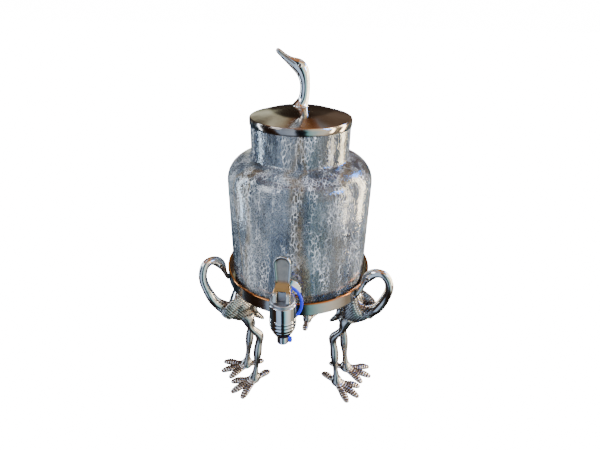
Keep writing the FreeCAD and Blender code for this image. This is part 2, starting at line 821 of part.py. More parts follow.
def spout_ring():
    """Silicone ring in the outlet's mouth, with a rim below it and a tab beside it."""
    outer = outlet_bore + spout_ring_wall
    low = outlet_bottom - spout_ring_rim
    corners = [
        (outlet_bore, low, 0),
        (outlet_radius, low, 0.3),
        (outlet_radius, outlet_bottom, 0),
        (outer, outlet_bottom, 0),
        (outer, outlet_bottom + spout_ring_length, 0),
        (outlet_bore, outlet_bottom + spout_ring_length, 0),
    ]
    ring = turned(corners, Vector(0, -tap_reach, 0))
    angle = math.radians(spout_tab_angle)
    tab_x = spout_tab_place * math.cos(angle)
    tab_y = spout_tab_place * math.sin(angle) - tap_reach
    tab = upright_rod(spout_tab_radius, outlet_bottom - spout_tab_drop, outlet_bottom + spout_tab_rise, tab_x, tab_y)
    tab = tab.makeFillet(0.8, [tab.Edges[0], tab.Edges[2]])
    tab = tab.cut(upright_rod(outlet_radius, outlet_bottom, barrel_bottom, 0, -tap_reach))
    return ring.fuse(tab.cut(upright_rod(outer, low - spout_tab_drop, outlet_bottom, 0, -tap_reach)))


casting = bird()
for name, angle in bird_angles.items():
    save(name, placed_by_bird(casting, angle))
save("stand_ring", stand_ring())
save("bird_screws", bird_screws())
save("glass_jar", glass_jar())
save("lid_cover", lid_cover())
save("lid_finial", lid_finial())
save("finial_screw", finial_screw())
save("tap_body", tap_body())
save("bonnet_ring", bonnet_ring())
save("stem_seal", stem_seal())
save("valve_stem", valve_stem())
save("lever_pin", lever_pin())
save("valve_plug", valve_plug())
save("return_spring", return_spring())
save("lever_handle", lever_handle())
save("outer_seal", outer_seal())
save("tap_escutcheon", tap_escutcheon())
save("inner_seal", inner_seal())
save("inner_washer", inner_washer())
save("back_nut", back_nut())
save("shank_ring", shank_ring())
save("spout_ring", spout_ring())
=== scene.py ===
# %% [markdown]
# # A crackled glass drink dispenser on a stand of cast birds
#
# The CAD model gives every piece its place and size. This script dresses it: it softens the castings as
# a foundry's mould would, adds what is too fine for CAD, and gives every piece the finish of the real one.

import math

import bpy
import numpy as np
from mathutils import Matrix, Vector


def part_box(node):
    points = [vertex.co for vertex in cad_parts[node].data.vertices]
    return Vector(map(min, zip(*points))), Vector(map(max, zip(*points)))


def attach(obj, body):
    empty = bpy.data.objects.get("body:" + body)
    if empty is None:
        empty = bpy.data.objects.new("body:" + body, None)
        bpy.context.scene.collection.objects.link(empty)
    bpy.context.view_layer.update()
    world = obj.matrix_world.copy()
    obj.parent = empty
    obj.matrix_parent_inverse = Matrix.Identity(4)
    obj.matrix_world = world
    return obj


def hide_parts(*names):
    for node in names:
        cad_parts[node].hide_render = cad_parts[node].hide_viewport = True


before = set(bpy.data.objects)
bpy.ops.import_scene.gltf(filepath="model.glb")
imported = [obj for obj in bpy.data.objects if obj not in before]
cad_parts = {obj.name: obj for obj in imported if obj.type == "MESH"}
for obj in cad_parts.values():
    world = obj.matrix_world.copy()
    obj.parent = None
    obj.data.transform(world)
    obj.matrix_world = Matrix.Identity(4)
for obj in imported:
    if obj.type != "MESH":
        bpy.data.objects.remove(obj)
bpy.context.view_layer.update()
MM = 0.001

# %% [markdown]
# A shader node needs three things: its kind, its settings and what feeds its sockets. One helper does all
# three, so that a material reads as a short list. Colours are written as the hex values that a colour
# picker shows, and one function turns them into the linear values that light is computed with.


# %% Helpers for shader nodes and colours
def linear(hex_code):
    """Linear RGBA of an sRGB colour such as #A0B1C2."""
    channels = [int(hex_code[i:i + 2], 16) / 255 for i in (1, 3, 5)]
    return [c / 12.92 if c <= 0.04045 else ((c + 0.055) / 1.055) ** 2.4 for c in channels] + [1.0]


def add_node(tree, kind, sockets=None, **settings):
    """Add one shader node; sockets maps an input's name or number to a value or to another node's output."""
    added = tree.nodes.new(kind)
    for name, value in settings.items():
        setattr(added, name, value)
    for name, value in (sockets or {}).items():
        if isinstance(value, bpy.types.NodeSocket):
            tree.links.new(value, added.inputs[name])
        else:
            added.inputs[name].default_value = value
    return added


def set_stops(ramp_node, stops):
    """Fill a colour ramp with (place, hex) stops."""
    ramp = ramp_node.color_ramp
    while len(ramp.elements) < len(stops):
        ramp.elements.new(0.5)
    for element, (place, colour) in zip(ramp.elements, stops):
        element.position = place
        element.color = linear(colour)


def new_finish(name, base, metallic, roughness, **sockets):
    """Material with one Principled shader; returns the material, its node tree and the shader."""
    finish = bpy.data.materials.new(name)
    finish.use_nodes = True
    tree = finish.node_tree
    shader = tree.nodes["Principled BSDF"]
    shader.inputs["Base Color"].default_value = linear(base)
    shader.inputs["Metallic"].default_value = metallic
    shader.inputs["Roughness"].default_value = roughness
    for socket, value in sockets.items():
        shader.inputs[socket.replace("_", " ")].default_value = value
    return finish, tree, shader


def paint(finish, *names):
    """Give CAD nodes a finish."""
    for name in names:
        for material_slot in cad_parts[name].material_slots:
            material_slot.material = finish


print("white is", linear("#FFFFFF"))

# %% [markdown]
# ## Camera
#
# The photograph was taken from close by and above, so the jar narrows towards the floor. These values give
# the same place and lens.

# %% Camera at the photograph's place
camera_azimuth = math.radians(7.3)
camera_distance = 0.4165
camera_aside = 0.0012
camera_height = 0.4369
camera_pitch = math.radians(28.26)
camera_roll = math.radians(1.05)
camera_data = bpy.data.cameras.new("camera")
camera_data.sensor_width = 36.0
camera_data.lens = 23.736
camera_data.clip_start = 0.01
camera = bpy.data.objects.new("camera", camera_data)
bpy.context.collection.objects.link(camera)
camera.matrix_world = (
    Matrix.Rotation(camera_azimuth, 4, "Z")
    @ Matrix.Translation((camera_aside, -camera_distance, camera_height))
    @ Matrix.Rotation(math.radians(90) - camera_pitch, 4, "X")
    @ Matrix.Rotation(camera_roll, 4, "Z")
)
bpy.context.scene.camera = camera
print("lens", round(camera_data.lens, 2), "mm")

# %% [markdown]
# ## Room
#
# Polished metal and clear glass have hardly any colour of their own: they show the room around them. So the
# object stands on a pale floor under soft light, and the world has two faces. The camera and matt surfaces
# see plain white. Mirrors and glass see a room that changes with the bearing: dark brown at the left, a pale
# blue window, a dark post, a bright window and cream curtains at the right, a dim wall behind, and a ceiling
# of warm wood and sky.

# %% Pale floor
floor_size = 30.0
white_glow = 16.0
bpy.ops.mesh.primitive_plane_add(size=floor_size)
floor = bpy.context.object
floor.name = "floor"
floor_finish, _, _ = new_finish(
    "pale_paper", "#FBFBFB", 0.0, 0.9, Emission_Color=linear("#FFFFFF"), Emission_Strength=white_glow)
floor.data.materials.append(floor_finish)
floor.visible_glossy = False
floor.visible_transmission = False
floor.visible_diffuse = False
print("floor", floor_size, "m")

# %% [markdown]
# A bearing in the room runs from 0 to 1 round the jar: 0 is behind it, 0.25 at its left, 0.5 at the camera's
# side, 0.75 at its right, and 1 is behind again. Ramps give the colours by bearing. Overhead, and low down
# behind the jar, a soft noise in upright strips gives them instead.

# %% Room that the metal and the glass show
strip_scale = 2.6
strip_squeeze = 0.28
wander_share = 0.014
mirror_strength = 2.0
fill_strength = 1.9
world = bpy.data.worlds.new("soft_room")
bpy.context.scene.world = world
world.use_nodes = True
room = world.node_tree
room.nodes.clear()
direction = add_node(room, "ShaderNodeTexCoord").outputs["Generated"]
upright = add_node(room, "ShaderNodeMapping", {"Vector": direction, "Scale": (1.0, 1.0, strip_squeeze)})
strips = add_node(
    room, "ShaderNodeTexNoise",
    {"Vector": upright.outputs[0], "Scale": strip_scale, "Detail": 2.0, "Roughness": 0.55})
faced = add_node(room, "ShaderNodeMapping", {"Vector": direction, "Rotation": (0, 0, -camera_azimuth)})
parts = add_node(room, "ShaderNodeSeparateXYZ", {0: faced.outputs[0]})
towards = add_node(room, "ShaderNodeMath", {0: parts.outputs["Y"], 1: -1.0}, operation="MULTIPLY")
bearing = add_node(room, "ShaderNodeMath", {0: parts.outputs["X"], 1: towards.outputs[0]}, operation="ARCTAN2")
around = add_node(room, "ShaderNodeMapRange", {0: bearing.outputs[0], 1: -math.pi, 2: math.pi})
wander = add_node(
    room, "ShaderNodeMapRange", {0: strips.outputs["Fac"], 1: 0.3, 2: 0.7, 3: -wander_share, 4: wander_share})
turn = add_node(room, "ShaderNodeMath", {0: around.outputs[0], 1: wander.outputs[0]}, operation="ADD")
front = add_node(room, "ShaderNodeValToRGB", {0: turn.outputs[0]})
set_stops(front, [
    (0.00, "#2A201A"), (0.20, "#1B1714"), (0.31, "#141A22"), (0.345, "#1C2530"), (0.375, "#7C94B0"),
    (0.455, "#A9BDD2"), (0.475, "#12161C"), (0.525, "#1A2028"), (0.545, "#6C9CA8"), (0.58, "#D8DCD6"),
    (0.63, "#F6E6C6"), (0.67, "#FFE9C2"), (0.72, "#6A5A4A"), (0.76, "#FBE8C6"), (0.83, "#FFF6E4"),
    (0.90, "#5E4E40"), (1.00, "#2A201A"),
])
back = add_node(room, "ShaderNodeValToRGB", {0: turn.outputs[0]})
set_stops(back, [
    (0.00, "#241C17"), (0.026, "#2E2822"), (0.032, "#9C9E88"), (0.048, "#C2C4AE"), (0.056, "#4A443A"),
    (0.09, "#241E1A"), (0.70, "#6A5A4A"), (0.80, "#8A7660"), (0.90, "#6A5849"), (0.965, "#5A4B40"),
    (0.978, "#2A211B"), (1.00, "#241C17"),
])
below = add_node(room, "ShaderNodeValToRGB", {0: strips.outputs["Fac"]})
set_stops(below, [(0.36, "#12171C"), (0.45, "#2E3A45"), (0.52, "#4C5E6F"), (0.58, "#8E8874"), (0.64, "#33414E")])
table = add_node(room, "ShaderNodeValToRGB", {0: turn.outputs[0]})
set_stops(table, [
    (0.00, "#1E1612"), (0.30, "#221812"), (0.34, "#3A2A20"), (0.355, "#8EA6C6"), (0.45, "#A9BFDC"),
    (0.47, "#101419"), (0.53, "#181D24"), (0.548, "#78AEB8"), (0.60, "#C4DADC"), (0.66, "#E6E0D2"),
    (0.74, "#8E7F6A"), (0.80, "#DCCBAC"), (0.90, "#4A3A2E"), (1.00, "#1E1612"),
])
ceiling = add_node(room, "ShaderNodeValToRGB", {0: strips.outputs["Fac"]})
set_stops(ceiling, [(0.36, "#86AECF"), (0.43, "#B9CDDA"), (0.47, "#A8683C"), (0.57, "#74421F"), (0.63, "#C49A70")])
behind = add_node(
    room, "ShaderNodeMapRange", {0: parts.outputs["Y"], 1: -0.15, 2: 0.35},
    interpolation_type="SMOOTHSTEP")
low = add_node(
    room, "ShaderNodeMapRange", {0: parts.outputs["Z"], 1: 0.04, 2: -0.12},
    interpolation_type="SMOOTHSTEP")
deep = add_node(
    room, "ShaderNodeMapRange", {0: parts.outputs["Z"], 1: -0.6, 2: -0.85},
    interpolation_type="SMOOTHSTEP")
high = add_node(
    room, "ShaderNodeMapRange", {0: parts.outputs["Z"], 1: 0.62, 2: 0.8},
    interpolation_type="SMOOTHSTEP")
upper = add_node(
    room, "ShaderNodeMix", {0: behind.outputs[0], 6: front.outputs[0], 7: back.outputs[0]}, data_type="RGBA")
lower = add_node(
    room, "ShaderNodeMix", {0: behind.outputs[0], 6: table.outputs[0], 7: below.outputs[0]}, data_type="RGBA")
walls = add_node(
    room, "ShaderNodeMix", {0: low.outputs[0], 6: upper.outputs[2], 7: lower.outputs[2]}, data_type="RGBA")
topped = add_node(
    room, "ShaderNodeMix", {0: high.outputs[0], 6: walls.outputs[2], 7: ceiling.outputs[0]}, data_type="RGBA")
whole = add_node(
    room, "ShaderNodeMix", {0: deep.outputs[0], 6: topped.outputs[2], 7: linear("#1A1512")}, data_type="RGBA")
mirrored = add_node(room, "ShaderNodeBackground", {"Color": whole.outputs[2], "Strength": mirror_strength})
soft_fill = add_node(room, "ShaderNodeBackground", {"Color": linear("#F4F8FF"), "Strength": fill_strength})
white = add_node(room, "ShaderNodeBackground", {"Color": linear("#FFFFFF"), "Strength": white_glow})
ray = add_node(room, "ShaderNodeLightPath")
filled = add_node(
    room, "ShaderNodeMixShader",
    {0: ray.outputs["Is Diffuse Ray"], 1: mirrored.outputs[0], 2: soft_fill.outputs[0]})
shown = add_node(
    room, "ShaderNodeMixShader", {0: ray.outputs["Is Camera Ray"], 1: filled.outputs[0], 2: white.outputs[0]})
add_node(room, "ShaderNodeOutputWorld", {"Surface": shown.outputs[0]})
print("room nodes:", len(room.nodes))

# %% [markdown]
# Three kinds of light add what the room can't: a window over the left shoulder, tall narrow curtains whose
# reflections run down the jar as pale bands, and two small patches of blue sky that show on its shoulder.
# Curtains and sky are hidden from the camera, so that only their reflections are seen.

# %% Soft lights
light_distance = 0.95
light_target = Vector((0, 0, 0.2))
curtain_height = 0.3
curtain_length = 1.1
sky_centre_height = 0.26
sky_size = 0.18
sky_power = 4.0


def light_place(bearing, distance, height):
    """Place at a bearing in degrees to the right of the camera, as seen from the jar."""
    angle = math.radians(bearing) + camera_azimuth
    return Vector((distance * math.sin(angle), -distance * math.cos(angle), height))


def soft_light(name, place, size, power, colour):
    """Area light that faces the jar's middle."""
    light = bpy.data.lights.new(name, "AREA")
    light.size = size
    light.energy = power
    light.color = linear(colour)[:3]
    lamp = bpy.data.objects.new(name, light)
    lamp.location = place
    lamp.rotation_euler = (light_target - lamp.location).to_track_quat("-Z", "Y").to_euler()
    bpy.context.collection.objects.link(lamp)
    return lamp


def curtain_light(name, bearing, width, power, colour):
    """Tall narrow light beside the object."""
    lamp = soft_light(name, light_place(bearing, light_distance, curtain_height), width, power, colour)
    lamp.data.shape = "RECTANGLE"
    lamp.data.size_y = curtain_length
    lamp.visible_camera = False


for name, bearing, elevation in (("sky_right", 63, 22), ("sky_right_back", 119, 32)):
    out = light_distance * math.cos(math.radians(elevation))
    up = sky_centre_height + light_distance * math.sin(math.radians(elevation))
    soft_light(name, light_place(bearing, out, up), sky_size, sky_power, "#2F86F0").visible_camera = False
soft_light("window_left", Vector((-1.1, -0.9, 1.2)), 0.6, 12, "#F4F8FF")
curtain_light("curtain_right", 74, 0.12, 10.0, "#F7E6C4")
curtain_light("curtain_right_back", 108, 0.2, 20.0, "#F9E4BC")
curtain_light("curtain_left", -100, 0.12, 7.0, "#C9DEF4")

# %% [markdown]
# ## Castings
#
# The birds are sand castings. A mould has no sharp creases: where a leg meets the body or a toe meets the
# ankle there is a fillet. So the CAD shape is rebuilt in small even cells and smoothed, which rounds each
# crease and gives the fine mesh that feathers and toe ribs need. The three birds come from one pattern, so
# one casting is made in the plane of +X and then turned to each place.


# %% Helpers for meshes
def cad_copy(node, piece_name, turn=0.0):
    """New object with a copy of a CAD node's mesh, turned about the jar's axis."""
    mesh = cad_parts[node].data.copy()
    mesh.materials.clear()
    mesh.transform(Matrix.Rotation(turn, 4, "Z"))
    piece = bpy.data.objects.new(piece_name, mesh)
    bpy.context.collection.objects.link(piece)
    return piece


def cast_in_cells(piece, cell, rounds):
    """Rebuild a piece in even cells and round its creases."""
    cells = piece.modifiers.new("cells", "REMESH")
    cells.mode = "VOXEL"
    cells.voxel_size = cell
    rounding = piece.modifiers.new("rounding", "SMOOTH")
    rounding.factor = 0.5
    rounding.iterations = rounds
    graph = bpy.context.evaluated_depsgraph_get()
    mesh = bpy.data.meshes.new_from_object(piece.evaluated_get(graph))
    piece.modifiers.clear()
    piece.data = mesh
    mesh.shade_smooth()


def read_points(mesh):
    """Places and normals of a mesh's points, as arrays."""
    places = np.empty(3 * len(mesh.vertices), np.float32)
    mesh.vertices.foreach_get("co", places)
    normals = np.empty(3 * len(mesh.vertices), np.float32)
    mesh.vertex_normals.foreach_get("vector", normals)
    return places.reshape(-1, 3).astype(float), normals.reshape(-1, 3).astype(float)


def write_points(mesh, places):
    """Move a mesh's points to the given places."""
    mesh.vertices.foreach_set("co", places.astype(np.float32).ravel())
    mesh.update()


def write_share(mesh, name, share):
    """Keep a value for each point, which a material can read."""
    attribute = mesh.attributes.new(name, "FLOAT", "POINT")
    attribute.data.foreach_set("value", np.clip(share, 0, 1).astype(np.float32))


def s_curve(value, low, high):
    """0 at low, 1 at high, and an even S between; low may be the larger one."""
    t = np.clip((value - low) / (high - low), 0, 1)
    return t * t * (3 - 2 * t)


def hollow_share(mesh, rounds, depth):
    """How deep each point lies in a hollow: smoothing lifts it out by up to the given depth."""
    places, normals = read_points(mesh)
    ends = np.empty(2 * len(mesh.edges), np.int32)
    mesh.edges.foreach_get("vertices", ends)
    first, second = ends.reshape(-1, 2).T
    count = np.bincount(first, minlength=len(places)) + np.bincount(second, minlength=len(places))
    smooth = places.copy()
    for _ in range(rounds):
        total = np.zeros_like(smooth)
        np.add.at(total, first, smooth[second])
        np.add.at(total, second, smooth[first])
        smooth = total / count[:, None]
    lift = ((smooth - places) * normals).sum(axis=1)
    return np.clip(lift / depth, 0, 1)


def tile_relief(along, across, length, width):
    """Height from 0 to 1 of round-ended tiles that overlap like feathers and point along."""
    relief = np.zeros(len(along))
    free = np.ones(len(along), bool)
    reach = 1.7 * length
    for rows_back in (1, 0):
        row = np.floor(along / length) - rows_back
        shift = 0.5 * (row % 2)
        off = 2 * (across / width - shift - np.floor(across / width - shift)) - 1
        end = row * length + reach * np.sqrt(np.clip(1 - 0.85 * off ** 2, 0, 1))
        inside = free & (along < end)
        relief[inside] = ((along - row * length) / reach)[inside]
        free &= ~inside
    return relief


print("mesh helpers are ready")

# %% [markdown]
# Feathers are chased into the pattern on the body and the wing as small overlapping tiles that point to the
# tail. The toes are broadened first, as the photograph shows them stout, and have ribs across them, like a
# real bird's scutes. The neck and the shins stay smooth.
# All of it is moved into the mesh, so that it shows in any light and in the shape.

# %% One bird, in the plane of +X
bird_turns = {"bird_left": math.radians(-144), "bird_right": math.radians(-24), "bird_back": math.radians(96)}
ring_low, ring_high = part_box("stand_ring")
ring_radius = ring_high[0]
bird_cell = 0.62 * MM
feather_length = 2.5 * MM
feather_width = 3.2 * MM
feather_depth = 0.75 * MM
body_centre = (ring_radius - 1 * MM, ring_low[2] - 19 * MM)
body_half_length = 23 * MM
body_half_height = 21 * MM
tail_slope = math.radians(24)
foot_radius = 71.5 * MM
leg_spread = 14.0 * MM
toe_top = 11 * MM
toe_rib_pitch = 3.2 * MM
toe_rib_depth = 0.6 * MM
toe_growth = 1.7 * MM
groove_brown = 0.9
body_brown = 0.1
leg_brown = 0.25

pattern = cad_copy("bird_right", "bird_pattern", -bird_turns["bird_right"])
cast_in_cells(pattern, bird_cell, 2)
places, normals = read_points(pattern.data)
grown = toe_growth * s_curve(places[:, 2], 13 * MM, 8 * MM)
write_points(pattern.data, places + grown[:, None] * normals * (1, 1, 0))
cast_in_cells(pattern, bird_cell, 5)
places, normals = read_points(pattern.data)
x, y, z = places.T

from_body = np.hypot((x - body_centre[0]) / body_half_length, (z - body_centre[1]) / body_half_height)
on_body = s_curve(from_body, 1.0, 0.8) * s_curve(np.abs(normals[:, 1]), 0.25, 0.5)
towards_tail = -x * math.cos(tail_slope) - z * math.sin(tail_slope)
up_the_body = z * math.cos(tail_slope) - x * math.sin(tail_slope)
feathers = tile_relief(towards_tail, up_the_body, feather_length, feather_width)

from_ankle = np.hypot(x - foot_radius, np.abs(y) - leg_spread)
on_toes = s_curve(z, toe_top, 7 * MM) * s_curve(from_ankle, 7 * MM, 10 * MM) * s_curve(normals[:, 2], 0.0, 0.35)
ribs = 0.5 + 0.5 * np.cos(2 * math.pi * from_ankle / toe_rib_pitch)
moved = on_body * feather_depth * (feathers - 0.55) + on_toes * toe_rib_depth * (ribs - 0.7)
write_points(pattern.data, places + normals * moved[:, None])

hollows = hollow_share(pattern.data, 10, 0.35 * MM)
grooves = on_body * s_curve(feathers, 0.7, 0.3) + on_toes * s_curve(ribs, 0.5, 0.1)
dull = body_brown + leg_brown * s_curve(z, 125 * MM, 100 * MM)
write_share(pattern.data, "patina", np.maximum(hollows, groove_brown * grooves) + dull)
print("bird points:", len(pattern.data.vertices))

# %% [markdown]
# Each bird is the pattern turned to its own place on the ring. It stands in for the CAD bird there.

# %% Three castings from the one pattern
for name, turn in bird_turns.items():
    casting_mesh = pattern.data.copy()
    casting_mesh.transform(Matrix.Rotation(turn, 4, "Z"))
    casting = bpy.data.objects.new(name + "_casting", casting_mesh)
    bpy.context.collection.objects.link(casting)
    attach(casting, "stand")
    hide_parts(name)
print("castings:", [name + "_casting" for name in bird_turns])

# %% [markdown]
# ## Eyes
#
# Each head has a round eye with a raised lid round it. Both are one turned profile: a dome, a groove and a
# rounded rim. A ray from beside the head finds where the eye sits.

# %% Eyes of the birds
eye_turns = 28
eye_profile = [
    (0.0, 0.46), (0.2, 0.43), (0.36, 0.32), (0.46, 0.12), (0.52, 0.06), (0.58, 0.16), (0.68, 0.34),
    (0.80, 0.34), (0.92, 0.14), (1.0, -0.2),
]
bird_eye_size = 3.0 * MM
knob_eye_size = 2.0 * MM
eye_sunk = 0.1
ray_start = 30 * MM


def eye_on(head, name, aim, side, size, body):
    """Turned eye where a ray along a side direction meets the head."""
    _, place, normal, _ = head.ray_cast(aim - side * ray_start, side)
    angles = [2 * math.pi * i / eye_turns for i in range(eye_turns)]
    rim = [(r * size * math.cos(angle), r * size * math.sin(angle), h * size)
           for r, h in eye_profile[1:] for angle in angles]
    faces = [(0, 1 + i, 1 + (i + 1) % eye_turns) for i in range(eye_turns)]
    for k in range(len(eye_profile) - 2):
        for i in range(eye_turns):
            a, b = 1 + k * eye_turns + i, 1 + k * eye_turns + (i + 1) % eye_turns
            faces.append((a, a + eye_turns, b + eye_turns, b))
    mesh = bpy.data.meshes.new(name)
    mesh.from_pydata([(0, 0, eye_profile[0][1] * size)] + rim, [], faces)
    mesh.shade_smooth()
    brown = [0.9 if r < 0.4 else 1.0 if r < 0.6 else 0.0 for r, _ in eye_profile[1:]]
    write_share(mesh, "patina", np.array(brown[:1] + list(np.repeat(brown, eye_turns))))
    seat = Matrix.Translation(place - normal * (eye_sunk * size))
    mesh.transform(seat @ normal.to_track_quat("Z", "Y").to_matrix().to_4x4())
    eye = bpy.data.objects.new(name, mesh)
    bpy.context.collection.objects.link(eye)
    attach(eye, body)
    return eye


bpy.context.view_layer.update()
eyes = []
head_aim = Vector((97.5 * MM, -9.8 * MM, 181.5 * MM))
for name, turn in bird_turns.items():
    to_place = Matrix.Rotation(turn, 3, "Z")
    casting = bpy.data.objects[name + "_casting"]
    for side_name, side in (("near", 1.0), ("far", -1.0)):
        eyes.append(eye_on(
            casting, f"{name}_eye_{side_name}", to_place @ head_aim, to_place @ Vector((0, side, 0)),
            bird_eye_size, "stand"))
bpy.data.objects.remove(pattern)
print("eyes:", len(eyes))

# %% [markdown]
# ## Knob of the lid
#
# The knob is the same kind of casting, a neck and a head with a long beak. Its beak has a mouth line on each
# side and fine folds under its root.

# %% Knob
_, finial_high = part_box("lid_finial")
finial_top = finial_high[2]
lid_turn = math.radians(7.3)
knob_cell = 0.4 * MM
mouth_width = 0.45 * MM
mouth_depth = 0.4 * MM
fold_pitch = 1.5 * MM
fold_depth = 0.14 * MM
fold_brown = 0.25

knob = cad_copy("lid_finial", "lid_knob_casting", -lid_turn)
cast_in_cells(knob, knob_cell, 5)
places, normals = read_points(knob.data)
x, y, z = places.T
beak_root = (-5.0 * MM, finial_top - 14.5 * MM)
beak_tip = (-24.8 * MM, finial_top - 1.0 * MM)
beak_length = math.hypot(beak_tip[0] - beak_root[0], beak_tip[1] - beak_root[1])
beak_along = ((beak_tip[0] - beak_root[0]) / beak_length, (beak_tip[1] - beak_root[1]) / beak_length)
along = (x - beak_root[0]) * beak_along[0] + (z - beak_root[1]) * beak_along[1]
below_mouth = (z - beak_root[1]) * beak_along[0] - (x - beak_root[0]) * beak_along[1]
on_beak = s_curve(along, 0.0, 2.5 * MM) * s_curve(np.abs(normals[:, 1]), 0.2, 0.5)
mouth = on_beak * np.exp(-(below_mouth / mouth_width) ** 2)
on_folds = s_curve(along, -1.0 * MM, 1.5 * MM) * s_curve(along, 13 * MM, 8 * MM)
on_folds = on_folds * s_curve(below_mouth, 0.6 * MM, 1.4 * MM)
folds = on_folds * (0.5 + 0.5 * np.cos(2 * math.pi * along / fold_pitch))
moved = -mouth_depth * mouth - fold_depth * folds
write_points(knob.data, places + normals * moved[:, None])
hollows = hollow_share(knob.data, 10, 0.3 * MM)
write_share(knob.data, "patina", np.maximum(hollows, np.maximum(groove_brown * mouth, fold_brown * folds)))
knob.data.transform(Matrix.Rotation(lid_turn, 4, "Z"))
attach(knob, "lid")
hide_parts("lid_finial")
bpy.context.view_layer.update()
to_knob = Matrix.Rotation(lid_turn, 3, "Z")
for side_name, side in (("near", 1.0), ("far", -1.0)):
    aim = to_knob @ Vector((-1.6 * MM, 0, finial_top - 15.2 * MM))
    eyes.append(eye_on(
        knob, f"knob_eye_{side_name}", aim, to_knob @ Vector((0, side, 0)),
        knob_eye_size, "lid"))
print("knob points:", len(knob.data.vertices))

# %% [markdown]
# ## Lever
#
# The lever is moulded, so its edges are round, and its face is dished for the thumb inside a raised rim. The
# CAD solid is rebuilt in fine cells, and its front is pushed back inside the rim.

# %% Lever
_, lever_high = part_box("lever_handle")
lever_cell = 0.36 * MM
dish_depth = 0.75 * MM
dish_rim = 0.4 * MM
dish_slope = 3.0 * MM
paddle_half = 8.3 * MM
paddle_length = 31 * MM
waist_half = 6.8 * MM
paddle_foot = lever_high[2] - paddle_length
round_centre = lever_high[2] - paddle_half

lever = cad_copy("lever_handle", "lever_moulding")
cast_in_cells(lever, lever_cell, 4)
places, normals = read_points(lever.data)
x, y, z = places.T
up_the_paddle = np.clip((z - paddle_foot) / (round_centre - paddle_foot), 0, 1)
half_width = waist_half + (paddle_half - waist_half) * up_the_paddle
from_edge = np.where(z > round_centre, paddle_half - np.hypot(x, z - round_centre), half_width - np.abs(x))
from_edge = np.minimum(from_edge, z - paddle_foot)
in_dish = s_curve(from_edge, dish_rim, dish_rim + dish_slope) * s_curve(-normals[:, 1], 0.3, 0.7)
write_points(lever.data, places + np.outer(dish_depth * in_dish, (0, 1, 0)))
write_share(lever.data, "dished", in_dish)
worn = s_curve(z, paddle_foot + 6 * MM, paddle_foot + 1 * MM)
worn = worn * s_curve(z, paddle_foot - 10 * MM, paddle_foot - 6 * MM)
write_share(lever.data, "worn", worn * s_curve(-normals[:, 1], 0.1, 0.6))
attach(lever, "lever")
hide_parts("lever_handle")
print("lever points:", len(lever.data.vertices))

# %% [markdown]
# ## Ribs of the tap and rim of the lid
#
# In the photograph fine ribs run round the lower half of the barrel, down to the outlet, and the lid's edge
# hangs a little over the neck as a rounded rim. Both are turned round an upright axis from a short profile.


# %% Ribbed sleeve and rim
def turned_ring(name, profile, centre, turns):
    """Closed ring turned round an upright axis; the profile lists radius and height, anticlockwise."""
    count = len(profile)
    angles = [2 * math.pi * i / turns for i in range(turns)]
    points = [(centre[0] + r * math.cos(angle), centre[1] + r * math.sin(angle), z)
              for angle in angles for r, z in profile]
    faces = []
    for i in range(turns):
        this, following = i * count, (i + 1) % turns * count
        for k in range(count):
            after = (k + 1) % count
            faces.append((this + k, following + k, following + after, this + after))
    mesh = bpy.data.meshes.new(name)
    mesh.from_pydata(points, [], faces)
    mesh.shade_smooth()
    ring = bpy.data.objects.new(name, mesh)
    bpy.context.collection.objects.link(ring)
    return ring


barrel_radius = 13.3 * MM
taper_foot_radius = 8.2 * MM
barrel_foot = 148 * MM
taper_height = 14 * MM
rib_top = 171 * MM
rib_pitch = 4.1 * MM
rib_height = 0.35 * MM
rib_sharpness = 2.5
sleeve_axis = (0.0, -113 * MM)
sleeve_foot = barrel_foot + 0.4 * MM
sleeve_gap = 0.1 * MM
sleeve_wall = 1.2 * MM
sleeve_steps = 100
sleeve_turns = 96

sleeve = []
for step in range(sleeve_steps + 1):
    height = sleeve_foot + (rib_top - sleeve_foot) * step / sleeve_steps
    rise = min((height - barrel_foot) / taper_height, 1.0)
    barrel = taper_foot_radius + (barrel_radius - taper_foot_radius) * math.sin(rise * math.pi / 2)
    wave = 0.5 - 0.5 * math.cos(2 * math.pi * (rib_top - height) / rib_pitch)
    sleeve.append((barrel + sleeve_gap + rib_height * wave ** rib_sharpness, height))
inside = [(barrel_radius - sleeve_wall, rib_top), (taper_foot_radius - sleeve_wall, sleeve_foot)]
ribs = turned_ring("tap_ribs", sleeve + inside, sleeve_axis, sleeve_turns)
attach(ribs, "jar")

_, lid_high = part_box("lid_cover")
lid_radius = lid_high[0]
_, jar_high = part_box("glass_jar")
edge_top = jar_high[2] + 3.5 * MM
rim_height = 7.5 * MM
rim_foot = edge_top - rim_height
rim_wall = 0.45 * MM
rim_out = 0.2 * MM
rim_turns = 128
rim_profile = [
    (lid_radius - rim_wall, edge_top - 1.5 * MM), (lid_radius - rim_wall, rim_foot + 0.3 * MM),
    (lid_radius - 0.2 * MM, rim_foot), (lid_radius + rim_out, rim_foot + 0.5 * MM),
    (lid_radius + rim_out, edge_top - 2.2 * MM), (lid_radius + 0.6 * rim_out, edge_top - 1.4 * MM),
    (lid_radius - 0.2 * MM, edge_top - 1.0 * MM),
]
rim = turned_ring("lid_rim", rim_profile, (0.0, 0.0), rim_turns)
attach(rim, "lid")
print("points of ribs and rim:", len(ribs.data.vertices), len(rim.data.vertices))

# %% [markdown]
# ## Crackled glass
#
# Crackle glass is blown soda-lime glass that is plunged into water while hot, so its skin breaks into a net
# of fine cracks, and is then fired again. The eye sees clear bluish glass with thin white glints where the
# cracks catch light: long ones in some upright streaks, a fine mesh in others. Two Voronoi nets, whose
# distance to the cell's edge draws the lines, are each shown in their own streaks.

